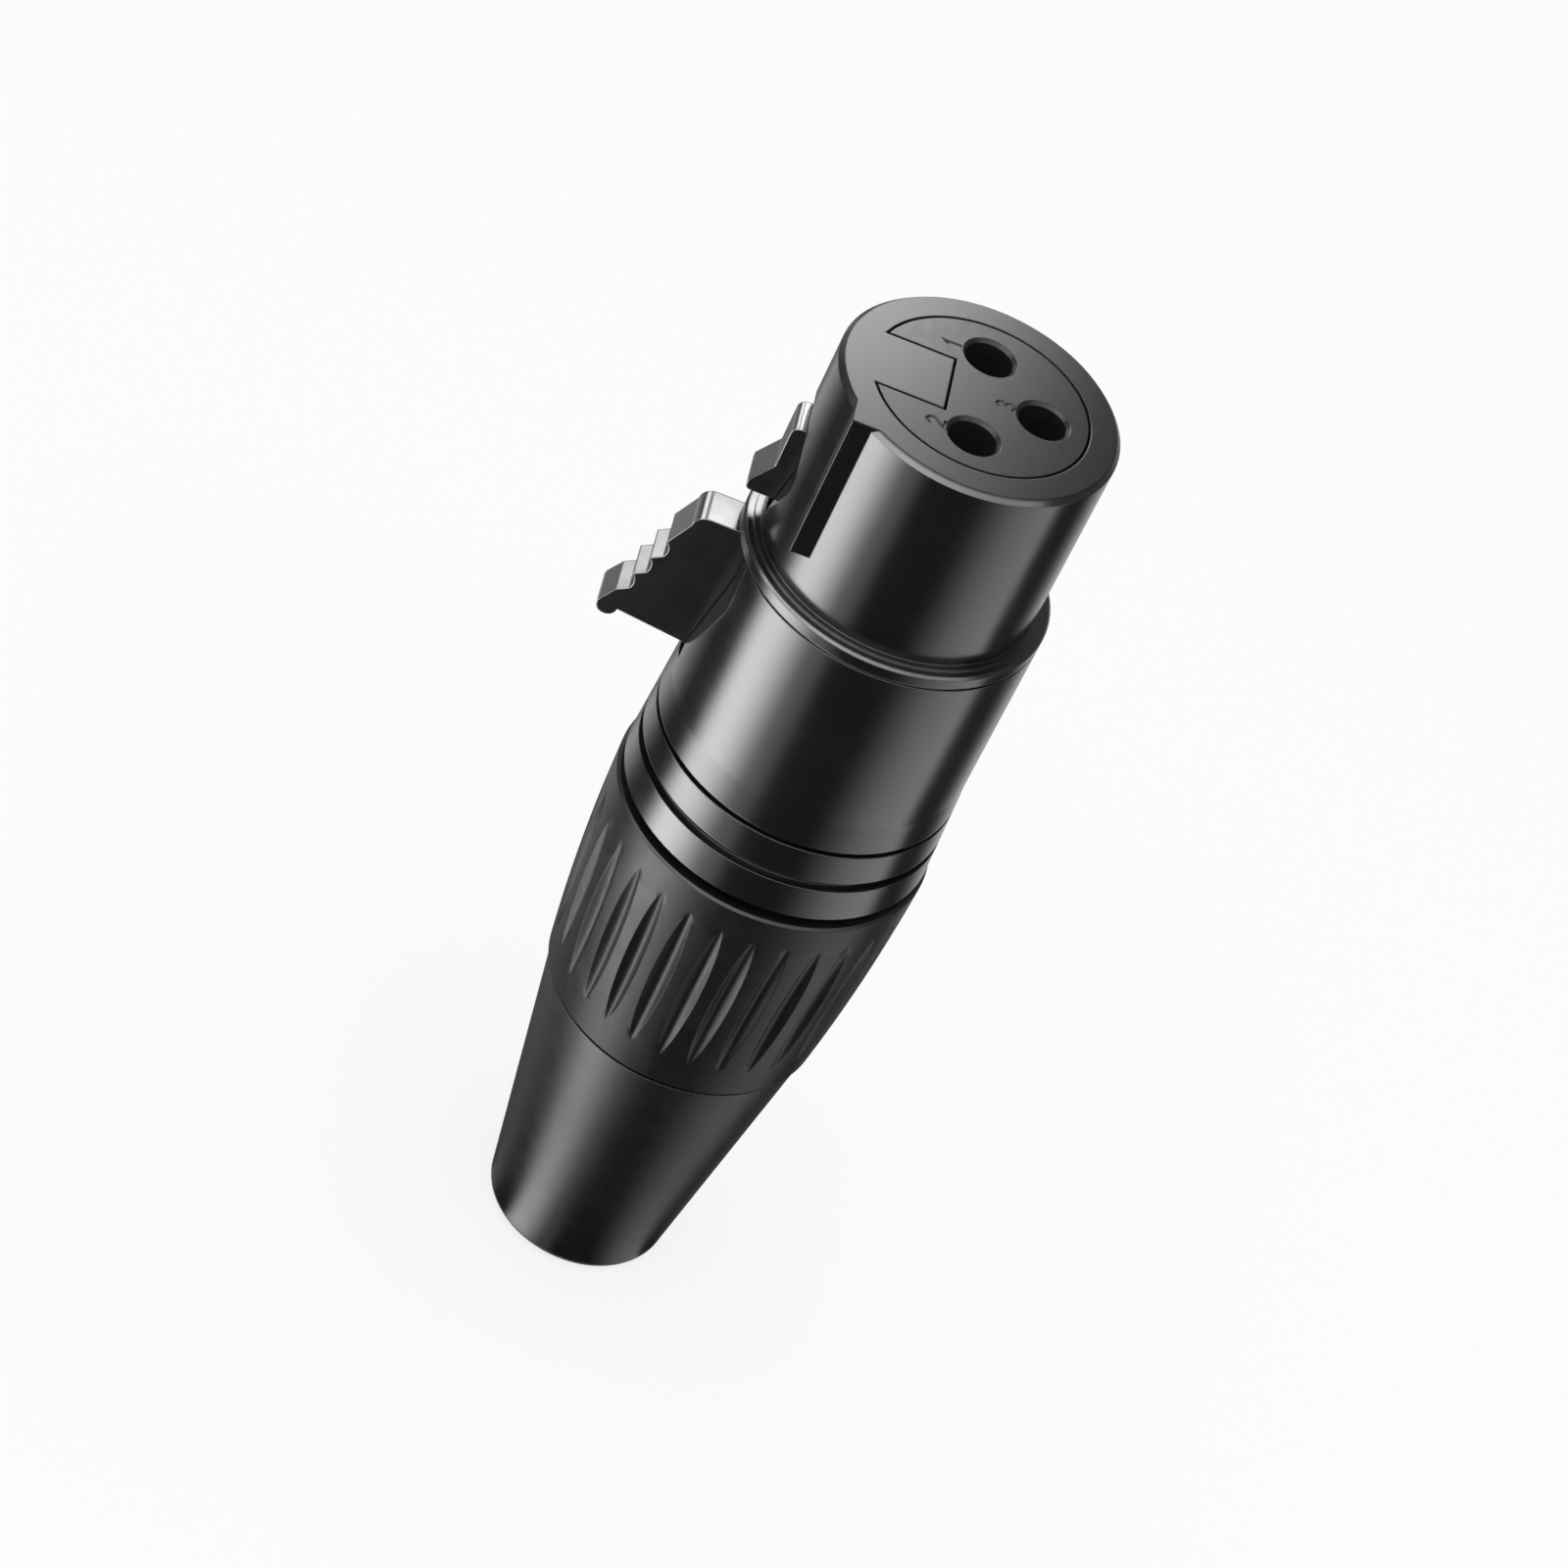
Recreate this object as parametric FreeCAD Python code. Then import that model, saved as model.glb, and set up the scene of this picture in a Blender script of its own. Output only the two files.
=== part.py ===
"""Female three-contact cable connector with a thumb latch and a screwed cable clamp.

Millimetres. The axis is +Z: the origin is the centre of the boot's cable end, the mating face looks up,
and +X points towards the latch.
"""
import FreeCAD, Part
import math
import os
from FreeCAD import Vector

# Lengths along the axis, from the cable end to the mating face
boot_length = 19.64
collar_length = 15.86
nut_gap = 0.7
ring_length = 2.15
ring_lip_length = 0.65
rear_band_length = 2.0
band_groove_width = 0.35
front_band_length = 1.95
body_length = 10.97
lip_groove_width = 0.15
lip_length = 0.78
nose_length = 12.3

# Radii of the housing: each wall and step is counted from the nose
nose_radius = 8.0
nose_wall = 1.8
bore_wall = 1.05
neck_wall = 0.8
seat_step = 0.38
flange_step = 0.9
rear_taper = 0.05
ring_lip_wall = 0.85

# Radii of the cable end: each wall and step is counted from the cable's bore
cable_bore_radius = 4.1
wire_room = 1.1
chuck_tip_wall = 1.3
nut_bore_room = 0.9
spigot_wall = 1.2
boot_wall = 2.0
boot_end_wall = 1.45
collar_rear_step = 0.15
collar_front_step = 0.165
collar_fullness = 0.215

# Small steps, grooves and edges
seat_height = 0.12
groove_depth = 0.3
lip_groove_depth = 0.14
rim_chamfer = 0.3
edge_chamfer = 0.15
neck_length = 10.5
neck_chamfer = 0.4
boot_end_round = 0.8
front_bore_depth = 10.0

# Straight rib along the main bore that keeps the inserts and the chuck from turning
bore_rib_width = 1.2
bore_rib_height = 0.55

# Key rib on the nose, its two walls short of the nose's radius
key_length = 9.6
key_inset_x = 1.56
key_inset_y = 2.0

# Latch channel: a square tab in the nose, with the lever between its two side walls
tab_wall = 0.7
tab_front_wall = 1.2
eye_floor_gap = 0.72
slot_floor_drop = 0.33
lever_width = 2.5
lever_side_gap = 0.2
window_gap = 0.2

# Flats cast beside the latch, each a level stretch between ramps
body_flat_drop = 1.05
body_flat_length = 3.3
body_flat_ramp = 6.2
nose_flat_drop = 0.6
nose_flat_front = 4.0
nose_flat_ramp = 3.4
nose_flat_length = 0.9

# Lever: pivot, hook above the nose and thumb button above the body
pivot_depth = 2.6
pivot_height = 4.4
press_angle = 11.0
eye_radius = 1.1
pin_radius = 0.5
arm_gap = 0.35
lever_bottom_rise = 3.3
hook_front_depth = 5.48
hook_front_round = 0.5
hook_step_rise = 0.5
hook_top_rise = 1.48
hook_ramp_length = 2.1
hook_tip_round = 0.3
hook_length = 5.02
button_length = 8.7
button_face_rise = 1.5
button_front_round = 0.8
button_crest_length = 2.5
button_crest_rise = 3.12
grip_step_count = 3
grip_step_length = 1.47
grip_step_rise = 0.49
grip_valley_depth = 0.25
grip_valley_place = 0.65
grip_tread_drop = 0.15
grip_tread_length = 1.05
bead_radius = 0.6
bead_rise = 0.08
bead_overhang = 1.3
bead_tangent_angle = 30.0

# Latch spring, a leaf hooked behind the retainer
spring_width = 2.2
spring_thickness = 0.25
spring_hook_length = 1.2
spring_foot_length = 2.0
spring_length = 9.2

# Contacts
contact_circle_radius = 3.5
contact_recess = 2.4
pin_bore_radius = 1.2
pin_bore_depth = 9.5
contact_wall = 0.45
tine_slot_width = 0.35
tine_slot_length = 6.5
shoulder_radius = 2.0
shoulder_length = 0.95
shank_radius = 1.25
cup_radius = 1.5
cup_bore_radius = 1.1
cup_length = 4.6
cup_bore_depth = 3.8
cup_scoop_length = 2.4
entry_radius = 1.36
entry_chamfer = 0.2

# Contact block and retainer
block_length = 14.0
retainer_length = 6.5
skirt_length = 5.5
skirt_wall = 0.95

# Ground lug
lug_azimuth = 135.0
lug_width = 2.2
lug_thickness = 0.3
lug_bow_length = 4.2
lug_bow_height = 0.2
lug_tab_gap = 1.0
lug_tab_length = 4.6
lug_hole_radius = 0.6

# Cable clamp
chuck_throat_length = 2.0
chuck_slot_count = 6
chuck_slot_width = 0.9
chuck_slot_length = 11.5
chuck_tip_inset = 2.3
thread_relief = 1.0
tooth_count = 4
tooth_height = 0.3
tooth_pitch = 1.6
spigot_length = 6.2

# Collar's barrel, turned in a few tapers, and the flutes round it
taper_count = 4
flute_count = 30
flute_width = 1.15
flute_depth = 0.38
flute_length = 12.3
flute_level_length = 4.0
flute_offset = 0.35

# Clearances
insert_gap = 0.1
face_line_gap = 0.15
slot_gap = 0.05
running_gap = 0.08
press_gap = 0.01
cone_gap = 0.15

# Stations along the axis, worked out from the lengths
collar_rear_z = boot_length
collar_front_z = collar_rear_z + collar_length
ring_rear_z = collar_front_z + nut_gap
ring_lip_z = ring_rear_z + ring_length
shoulder_z = ring_lip_z + ring_lip_length
rear_band_z = shoulder_z + rear_band_length
front_band_z = rear_band_z + band_groove_width
body_z = front_band_z + front_band_length
lip_groove_z = body_z + body_length
lip_z = lip_groove_z + lip_groove_width
flange_z = lip_z + lip_length
face_z = flange_z + nose_length
neck_end_z = shoulder_z - neck_length
step_z = face_z - front_bore_depth
block_rear_z = face_z - block_length
retainer_rear_z = block_rear_z - retainer_length
skirt_rear_z = retainer_rear_z - skirt_length
pivot_z = face_z - pivot_depth
spigot_end_z = collar_rear_z - spigot_length
chuck_tip_z = collar_rear_z + chuck_tip_inset
cone_z = neck_end_z - thread_relief

# Radii worked out from the walls and steps
front_bore_radius = nose_radius - nose_wall
main_bore_radius = nose_radius - bore_wall
neck_radius = main_bore_radius + neck_wall
seat_radius = nose_radius + seat_step
body_radius = nose_radius + flange_step
ring_lip_radius = neck_radius + ring_lip_wall
insert_radius = main_bore_radius - insert_gap
skirt_inside = insert_radius - skirt_wall
lug_tab_radius = skirt_inside - lug_tab_gap
contact_radius = pin_bore_radius + contact_wall
spigot_radius = cable_bore_radius + nut_bore_room + spigot_wall
boot_front_radius = spigot_radius + boot_wall
chuck_tip_radius = cable_bore_radius + chuck_tip_wall

# Latch stations
lever_half = lever_width / 2
channel_half = lever_half + lever_side_gap
tab_half = channel_half + tab_wall
lever_floor = pivot_height - eye_radius
channel_floor = lever_floor - eye_floor_gap
latch_slot_floor = channel_floor - slot_floor_drop
tab_reach = channel_floor - tab_wall
hook_front_z = face_z - hook_front_depth
hook_rear_z = hook_front_z - hook_length
hook_tip_z = hook_rear_z + hook_tip_round
hook_top_height = nose_radius + hook_top_rise
hook_tip_x = hook_top_height - hook_tip_round
button_window_z = lip_groove_z
button_front_z = button_window_z - window_gap
button_rear_z = button_front_z - button_length
button_crest_z = button_front_z - button_crest_length
button_crest_height = body_radius + button_crest_rise
grip_end_x = button_crest_height + grip_step_count * grip_step_rise
grip_end_z = button_crest_z - grip_step_count * grip_step_length
bead_x = grip_end_x + bead_rise
bead_z = grip_end_z - bead_overhang
contact_places = {
    "contact_1": (0.0, -contact_circle_radius),
    "contact_2": (0.0, contact_circle_radius),
    "contact_3": (-contact_circle_radius, 0.0),
}
axis_foot = Vector(0, 0, 0)
up = Vector(0, 0, 1)


def outline(start, *steps):
    """Face in the X-Z plane. A step is a corner, or a pair of corners: an arc's middle and its end."""
    edges = []
    here = Vector(start[0], 0, start[1])
    for step in steps + (start,):
        if isinstance(step[0], tuple):
            middle, end = (Vector(x, 0, z) for x, z in step)
            edges.append(Part.Arc(here, middle, end).toShape())
        else:
            end = Vector(step[0], 0, step[1])
            edges.append(Part.makeLine(here, end))
        here = end
    return Part.Face(Part.Wire(edges))


def turned(start, *steps):
    """Solid turned about the connector's axis from half of its section."""
    return outline(start, *steps).revolve(axis_foot, up, 360)


def plate(half_width, start, *steps):
    """Solid cut from a plate that stands across Y, from its side outline."""
    face = outline(start, *steps)
    face.translate(Vector(0, -half_width, 0))
    return face.extrude(Vector(0, 2 * half_width, 0))


def bar(x_low, x_high, half_width, z_low, z_high):
    """Square bar centred on Y."""
    corner = Vector(x_low, -half_width, z_low)
    return Part.makeBox(x_high - x_low, 2 * half_width, z_high - z_low, corner)


def rod(radius, z_low, z_high, x=0.0, y=0.0):
    """Round bar along the axis."""
    return Part.makeCylinder(radius, z_high - z_low, Vector(x, y, z_low), up)


def cross_rod(radius, half_length, x, z):
    """Round bar across the latch, along Y."""
    return Part.makeCylinder(radius, 2 * half_length, Vector(x, -half_length, z), Vector(0, 1, 0))


def turned_about_axis(shape, degrees):
    """Copy of a shape, turned about the connector's axis."""
    copy = shape.copy()
    copy.rotate(axis_foot, up, degrees)
    return copy


def round_point(x_center, z_center, radius, degrees):
    """Point on a rounded edge, at an angle from +X towards +Z."""
    angle = math.radians(degrees)
    return (x_center + radius * math.cos(angle), z_center + radius * math.sin(angle))


def round_corner(x_center, z_center, radius, start, end):
    """Outline step for a rounded edge between two angles, as the arc's middle and end."""
    middle = round_point(x_center, z_center, radius, (start + end) / 2)
    return (middle, round_point(x_center, z_center, radius, end))


def taper_radius(z):
    """Radius of the bands and the ring, which widen evenly from the body towards the rear."""
    return body_radius + rear_taper * (body_z - z)


def housing_outside():
    """Nose, flange, body, bands and neck in one turning, with the key rib."""
    groove_floor = body_radius - groove_depth
    lip_floor = body_radius - lip_groove_depth
    seat_z = flange_z + seat_height
    casting = turned(
        (0, neck_end_z),
        (neck_radius - neck_chamfer, neck_end_z),
        (neck_radius, neck_end_z + neck_chamfer),
        (neck_radius, shoulder_z),
        (taper_radius(shoulder_z), shoulder_z),
        (taper_radius(rear_band_z), rear_band_z),
        (groove_floor, rear_band_z),
        (groove_floor, front_band_z),
        (taper_radius(front_band_z), front_band_z),
        (body_radius, body_z),
        (body_radius, lip_groove_z),
        (lip_floor, lip_groove_z),
        (lip_floor, lip_z),
        (body_radius, lip_z),
        (body_radius, flange_z - edge_chamfer),
        (body_radius - edge_chamfer, flange_z),
        (seat_radius, flange_z),
        (seat_radius, seat_z),
        (nose_radius, seat_z),
        (nose_radius, face_z - rim_chamfer),
        (nose_radius - rim_chamfer, face_z),
        (0, face_z),
    )
    key_x = nose_radius - key_inset_x
    key_y = nose_radius - key_inset_y
    key = Part.makeBox(key_x, key_y, key_length, Vector(0, 0, face_z - key_length))
    return casting.fuse(key)


def latch_flats():
    """Cutters for the level and ramped flats beside the button and round the hook."""
    outside = 2 * body_radius
    body_flat = body_radius - body_flat_drop
    level_z = lip_groove_z - body_flat_length
    ramp_end = level_z - body_flat_ramp
    body_cut = plate(
        body_radius,
        (body_flat, lip_groove_z),
        (outside, lip_groove_z),
        (outside, ramp_end),
        (body_radius, ramp_end),
        (body_flat, level_z),
    )
    nose_flat = nose_radius - nose_flat_drop
    ramp_start = face_z - nose_flat_front
    nose_level = ramp_start - nose_flat_ramp
    nose_end = nose_level - nose_flat_length
    nose_cut = plate(
        nose_radius,
        (nose_radius, ramp_start),
        (nose_flat, nose_level),
        (nose_flat, nose_end),
        (nose_radius, nose_end - nose_flat_ramp),
        (outside, nose_end - nose_flat_ramp),
        (outside, ramp_start),
    )
    return [body_cut, nose_cut]


def pressed_z(x, z):
    """Height of a point of the lever when the button is fully pressed."""
    angle = math.radians(press_angle)
    return pivot_z - (x - pivot_height) * math.sin(angle) + (z - pivot_z) * math.cos(angle)


def latch_openings():
    """Cutters for the channel in the tab, the two windows and the slots that the pin slides in by."""
    outside = 2 * body_radius
    ceiling = pivot_height + eye_radius + insert_gap
    hook_window_foot = pressed_z(hook_tip_x, hook_rear_z) - window_gap
    button_window_foot = pressed_z(bead_x - bead_radius, bead_z) - window_gap
    slot_half = pin_radius + slot_gap
    wall_reach = tab_half + insert_gap
    return [
        bar(channel_floor, ceiling, channel_half, step_z, face_z - tab_front_wall),
        bar(channel_floor, outside, channel_half, hook_window_foot, hook_front_z + window_gap),
        bar(channel_floor, outside, channel_half, button_window_foot, button_window_z),
        bar(pivot_height - slot_half, pivot_height + slot_half, wall_reach, step_z, pivot_z),
        cross_rod(slot_half, wall_reach, pivot_height, pivot_z),
    ]


def bore_rib(gap, z_low, z_high):
    """The straight rib in the main bore, or with a gap the groove that slides on it."""
    reach = main_bore_radius - bore_rib_height - gap
    return bar(-2 * main_bore_radius, -reach, bore_rib_width / 2 + gap, z_low, z_high)


def shell():
    """Die-cast housing, with the tab that holds the latch and the rib along its bore."""
    front_bore = rod(front_bore_radius, step_z, face_z)
    tab = bar(tab_reach, nose_radius, tab_half, step_z, face_z)
    main_bore = rod(main_bore_radius, neck_end_z, step_z)
    rib = bore_rib(0, neck_end_z, step_z)
    bores = [main_bore.cut(rib), front_bore.cut(tab)]
    return housing_outside().cut(bores + latch_openings() + latch_flats())


def coding_ring():
    """Plain ring on the neck, with a lower lip against the housing's shoulder."""
    bore = neck_radius + running_gap
    return turned(
        (bore, ring_rear_z),
        (taper_radius(ring_rear_z), ring_rear_z),
        (taper_radius(ring_lip_z), ring_lip_z),
        (ring_lip_radius, ring_lip_z),
        (ring_lip_radius, shoulder_z),
        (bore, shoulder_z),
    )


def latch_slot(z_low, z_high):
    """Open slot in an insert for the lever's arm and button."""
    return bar(latch_slot_floor, body_radius, channel_half + slot_gap, z_low, z_high)


def contact_block():
    """Moulded front insert: socket entries, a notch round the tab and ribs that close the pin's slots."""
    front_radius = front_bore_radius - face_line_gap
    body = turned(
        (0, block_rear_z),
        (insert_radius, block_rear_z),
        (insert_radius, step_z),
        (front_radius, step_z),
        (front_radius, face_z),
        (0, face_z),
    )
    notch = bar(tab_reach - face_line_gap, nose_radius, tab_half + face_line_gap, step_z, face_z)
    rib_half = pin_radius - slot_gap
    rib = bar(
        pivot_height - rib_half,
        pivot_height + rib_half,
        tab_half + 2 * face_line_gap,
        step_z,
        pivot_z - pin_radius - insert_gap,
    )
    ribs = rib.cut(bar(0, body_radius, channel_half + slot_gap, step_z, face_z))
    cutters = [latch_slot(block_rear_z, step_z), bore_rib(insert_gap, block_rear_z, step_z)]
    mouth_z = face_z - contact_recess
    chamfer_z = face_z - entry_chamfer
    for x, y in contact_places.values():
        chamfer_foot = Vector(x, y, chamfer_z)
        cutters += [
            Part.makeCone(entry_radius, entry_radius + entry_chamfer, entry_chamfer, chamfer_foot, up),
            rod(entry_radius, mouth_z, face_z, x, y),
            rod(contact_radius + slot_gap, block_rear_z, mouth_z, x, y),
            rod(shoulder_radius + slot_gap, block_rear_z, block_rear_z + shoulder_length, x, y),
        ]
    return body.cut(notch).fuse(ribs).cut(cutters)


def lug_reach():
    """Distance from the axis to the flat of the lug's arm, whose edges clear the main bore."""
    bore = main_bore_radius - slot_gap
    return math.sqrt(bore * bore - lug_width * lug_width / 4) - lug_bow_height


def lug_pocket():
    """Room for the ground lug's arm on the retainer's flank, and its way in through the skirt."""
    half = lug_width / 2 + insert_gap
    bottom = retainer_rear_z - lug_thickness - 2 * insert_gap
    floor = lug_reach() - lug_thickness - insert_gap
    pocket = bar(floor, 2 * body_radius, half, bottom, block_rear_z)
    window = bar(lug_tab_radius, 2 * body_radius, half, bottom, retainer_rear_z)
    return turned_about_axis(pocket.fuse(window), lug_azimuth)


def contact_retainer():
    """Moulded rear insert: holds the contacts' shoulders, with a skirt round the solder cups."""
    body = turned(
        (0, retainer_rear_z),
        (skirt_inside, retainer_rear_z),
        (skirt_inside, skirt_rear_z),
        (insert_radius, skirt_rear_z),
        (insert_radius, block_rear_z),
        (0, block_rear_z),
    )
    cutters = [
        latch_slot(skirt_rear_z, block_rear_z),
        bore_rib(insert_gap, skirt_rear_z, block_rear_z),
        lug_pocket(),
    ]
    for x, y in contact_places.values():
        cutters.append(rod(shank_radius + slot_gap, retainer_rear_z, block_rear_z, x, y))
    return body.cut(cutters)


def contact(x, y):
    """Turned socket contact: slotted tines, shoulder, shank and scooped solder cup."""
    mouth_z = face_z - contact_recess
    shoulder_z_high = block_rear_z + shoulder_length
    cup_end = retainer_rear_z - cup_length
    body = turned(
        (0, cup_end),
        (cup_radius, cup_end),
        (cup_radius, retainer_rear_z),
        (shank_radius, retainer_rear_z),
        (shank_radius, block_rear_z),
        (shoulder_radius, block_rear_z),
        (shoulder_radius, shoulder_z_high),
        (contact_radius, shoulder_z_high),
        (contact_radius, mouth_z),
        (0, mouth_z),
    )
    body = body.cut([
        rod(pin_bore_radius, mouth_z - pin_bore_depth, mouth_z),
        bar(-contact_radius, contact_radius, tine_slot_width / 2, mouth_z - tine_slot_length, mouth_z),
        rod(cup_bore_radius, cup_end, cup_end + cup_bore_depth),
        bar(0, cup_radius, cup_radius, cup_end, cup_end + cup_scoop_length),
    ])
    body.translate(Vector(x, y, 0))
    return body


def ground_lug():
    """Bent strip: a bowed arm that presses on the housing, and a solder tab turned in behind the retainer."""
    outer = lug_reach()
    inner = outer - lug_thickness
    crown = outer + lug_bow_height
    top = block_rear_z - insert_gap
    bend = retainer_rear_z - insert_gap
    middle = (top + bend) / 2
    bow_top = middle + lug_bow_length / 2
    bow_foot = middle - lug_bow_length / 2
    sheet = bend - lug_thickness
    tab_end = sheet - lug_tab_length
    tab_inner = lug_tab_radius - lug_thickness
    strip = plate(
        lug_width / 2,
        (inner, top),
        (outer, top),
        (outer, bow_top),
        ((crown, middle), (outer, bow_foot)),
        (outer, sheet),
        (lug_tab_radius, sheet),
        (lug_tab_radius, tab_end),
        (tab_inner, tab_end),
        (tab_inner, bend),
        (inner, bend),
        (inner, bow_foot),
        ((crown - lug_thickness, middle), (inner, bow_top)),
    )
    hole_place = Vector(0, 0, tab_end + lug_width / 2)
    hole = Part.makeCylinder(lug_hole_radius, lug_tab_radius, hole_place, Vector(1, 0, 0))
    return turned_about_axis(strip.cut(hole), lug_azimuth)


def grip_steps(x, z):
    """Stepped thumb grip: each step is a shallow valley and a riser, and the steps climb to the rear."""
    steps = []
    for _ in range(grip_step_count):
        valley = (x - grip_valley_depth, z - grip_valley_place)
        tread_end = (x - grip_tread_drop, z - grip_tread_length)
        x += grip_step_rise
        z -= grip_step_length
        steps += [(valley, tread_end), (x, z)]
    return steps


def latch_lever():
    """One-piece lever: eye, hook with its steep rear face, arm under the bridge and thumb button."""
    arm_top = main_bore_radius - arm_gap
    hook_step = nose_radius + hook_step_rise
    hook_ramp_z = hook_rear_z + hook_ramp_length
    button_face = body_radius + button_face_rise
    shoulder_center_z = button_front_z - button_front_round
    blade = plate(
        lever_half,
        (lever_floor, pivot_z),
        (pivot_height + eye_radius, pivot_z),
        (pivot_height + eye_radius, hook_front_z),
        (nose_radius, hook_front_z),
        round_corner(hook_step - hook_front_round, hook_front_z - hook_front_round, hook_front_round, 90, 0),
        (hook_step, hook_ramp_z),
        (hook_top_height, hook_tip_z + hook_tip_round),
        (hook_top_height, hook_tip_z),
        round_corner(hook_tip_x, hook_tip_z, hook_tip_round, 0, -90),
        (arm_top, hook_rear_z),
        (arm_top, button_front_z),
        (button_face, button_front_z),
        round_corner(button_face, shoulder_center_z, button_front_round, 90, 0),
        (button_crest_height, button_crest_z),
        *grip_steps(button_crest_height, button_crest_z),
        round_point(bead_x, bead_z, bead_radius, bead_tangent_angle),
        (bead_x - bead_radius, bead_z),
        (body_radius, button_rear_z),
        (lever_floor + lever_bottom_rise, button_rear_z),
    )
    eye = cross_rod(eye_radius, lever_half, pivot_height, pivot_z)
    bead = cross_rod(bead_radius, lever_half, bead_x, bead_z)
    pin_hole = cross_rod(pin_radius + press_gap, lever_half, pivot_height, pivot_z)
    return blade.fuse([eye, bead]).cut(pin_hole)


def latch_pin():
    """Pin through the lever's eye; its ends lie in the slots of the tab's side walls."""
    return cross_rod(pin_radius, tab_half - slot_gap, pivot_height, pivot_z)


def latch_spring():
    """Leaf hooked behind the retainer: its foot lies in the slot and its free end bears on the lever."""
    foot_end = retainer_rear_z + spring_foot_length
    tip_z = retainer_rear_z + spring_length
    underside_slope = lever_bottom_rise / (pivot_z - button_rear_z)
    tip_x = lever_floor + underside_slope * (pivot_z - tip_z) - slot_gap
    hook_end = latch_slot_floor - spring_hook_length
    foot_top = latch_slot_floor + spring_thickness
    return plate(
        spring_width / 2,
        (hook_end, retainer_rear_z - spring_thickness),
        (hook_end, retainer_rear_z),
        (latch_slot_floor, retainer_rear_z),
        (latch_slot_floor, foot_end),
        (tip_x - spring_thickness, tip_z),
        (tip_x, tip_z),
        (foot_top, foot_end),
        (foot_top, retainer_rear_z - spring_thickness),
    )


def chuck_teeth():
    """Inside corners of the claws' teeth, from the throat to the tip."""
    crest = cable_bore_radius
    root = cable_bore_radius + tooth_height
    teeth = []
    for tooth in range(tooth_count, 0, -1):
        z = chuck_tip_z + tooth * tooth_pitch
        teeth += [(root, z), (crest, z - tooth_pitch / 2)]
    return teeth


def chuck():
    """Slotted collet: a ring that bears on the retainer, and toothed claws that the nut's cone closes."""
    front_z = skirt_rear_z - slot_gap
    throat_z = chuck_tip_z + tooth_count * tooth_pitch + chuck_throat_length
    wire_radius = cable_bore_radius + wire_room
    body = turned(
        (chuck_tip_radius, chuck_tip_z),
        (insert_radius, cone_z),
        (insert_radius, front_z),
        (wire_radius, front_z),
        (wire_radius, throat_z),
        *chuck_teeth(),
        (cable_bore_radius + tooth_height, chuck_tip_z),
    )
    slot = Part.makeBox(
        main_bore_radius, chuck_slot_width, chuck_slot_length, Vector(0, -chuck_slot_width / 2, chuck_tip_z)
    )
    turn = 360 / chuck_slot_count
    cutters = [turned_about_axis(slot, (place + 0.5) * turn) for place in range(chuck_slot_count)]
    cutters.append(bore_rib(insert_gap, neck_end_z - insert_gap, skirt_rear_z))
    return body.cut(cutters)


def collar_radius(z):
    """Radius of the collar's barrel at a height: fuller than the straight line between its two ends."""
    share = (collar_front_z - z) / collar_length
    front = taper_radius(ring_rear_z) + collar_front_step
    rear = boot_front_radius + collar_rear_step
    return front + (rear - front) * share + 4 * collar_fullness * share * (1 - share)


def flute_cutter():
    """Round bar, level in the middle and pointed at both ends, that cuts one lens-shaped flute."""
    radius = (flute_width * flute_width / 4 + flute_depth * flute_depth) / (2 * flute_depth)
    middle_z = collar_rear_z + collar_length / 2 + flute_offset
    reach = flute_length / 2
    level = flute_level_length / 2
    front = collar_radius(middle_z + reach)
    rear = collar_radius(middle_z - reach)
    height = collar_radius(middle_z) + radius - flute_depth
    end_radius = height - (front + rear) / 2
    point = level + (reach - level) * radius / (radius - end_radius)
    cutter = turned((0, -point), (radius, -level), (radius, level), (0, point))
    cutter.rotate(axis_foot, Vector(0, 1, 0), math.degrees(math.atan((front - rear) / flute_length)))
    cutter.translate(Vector(height, 0, middle_z))
    return cutter


def gland_nut():
    """Fluted collar with a bore for the neck's thread, a cone for the chuck and a spigot for the boot."""
    thread_bore = neck_radius + running_gap
    rear_bore = cable_bore_radius + nut_bore_room
    shoulder = chuck_tip_z - cone_gap
    taper_ends = [collar_front_z - collar_length * step / taper_count for step in range(1, taper_count + 1)]
    body = turned(
        (thread_bore, collar_front_z),
        (collar_radius(collar_front_z) - edge_chamfer, collar_front_z),
        (collar_radius(collar_front_z), collar_front_z - edge_chamfer),
        *[(collar_radius(z), z) for z in taper_ends],
        (spigot_radius, collar_rear_z),
        (spigot_radius, spigot_end_z),
        (rear_bore, spigot_end_z),
        (rear_bore, shoulder),
        (chuck_tip_radius + cone_gap, shoulder),
        (insert_radius + cone_gap, cone_z),
        (thread_bore, cone_z),
    )
    cutter = flute_cutter()
    return body.cut([turned_about_axis(cutter, flute * 360 / flute_count) for flute in range(flute_count)])


def boot_sleeve():
    """Soft tapered sleeve on the nut's spigot, with a rounded cable end."""
    end_radius = cable_bore_radius + boot_end_wall
    taper = (boot_front_radius - end_radius) / boot_length
    side = end_radius + taper * boot_end_round
    socket = spigot_radius + press_gap
    return turned(
        (cable_bore_radius, 0),
        (side - boot_end_round, 0),
        round_corner(side - boot_end_round, boot_end_round, boot_end_round, -90, 0),
        (boot_front_radius, boot_length),
        (socket, boot_length),
        (socket, spigot_end_z),
        (cable_bore_radius, spigot_end_z),
    )


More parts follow.
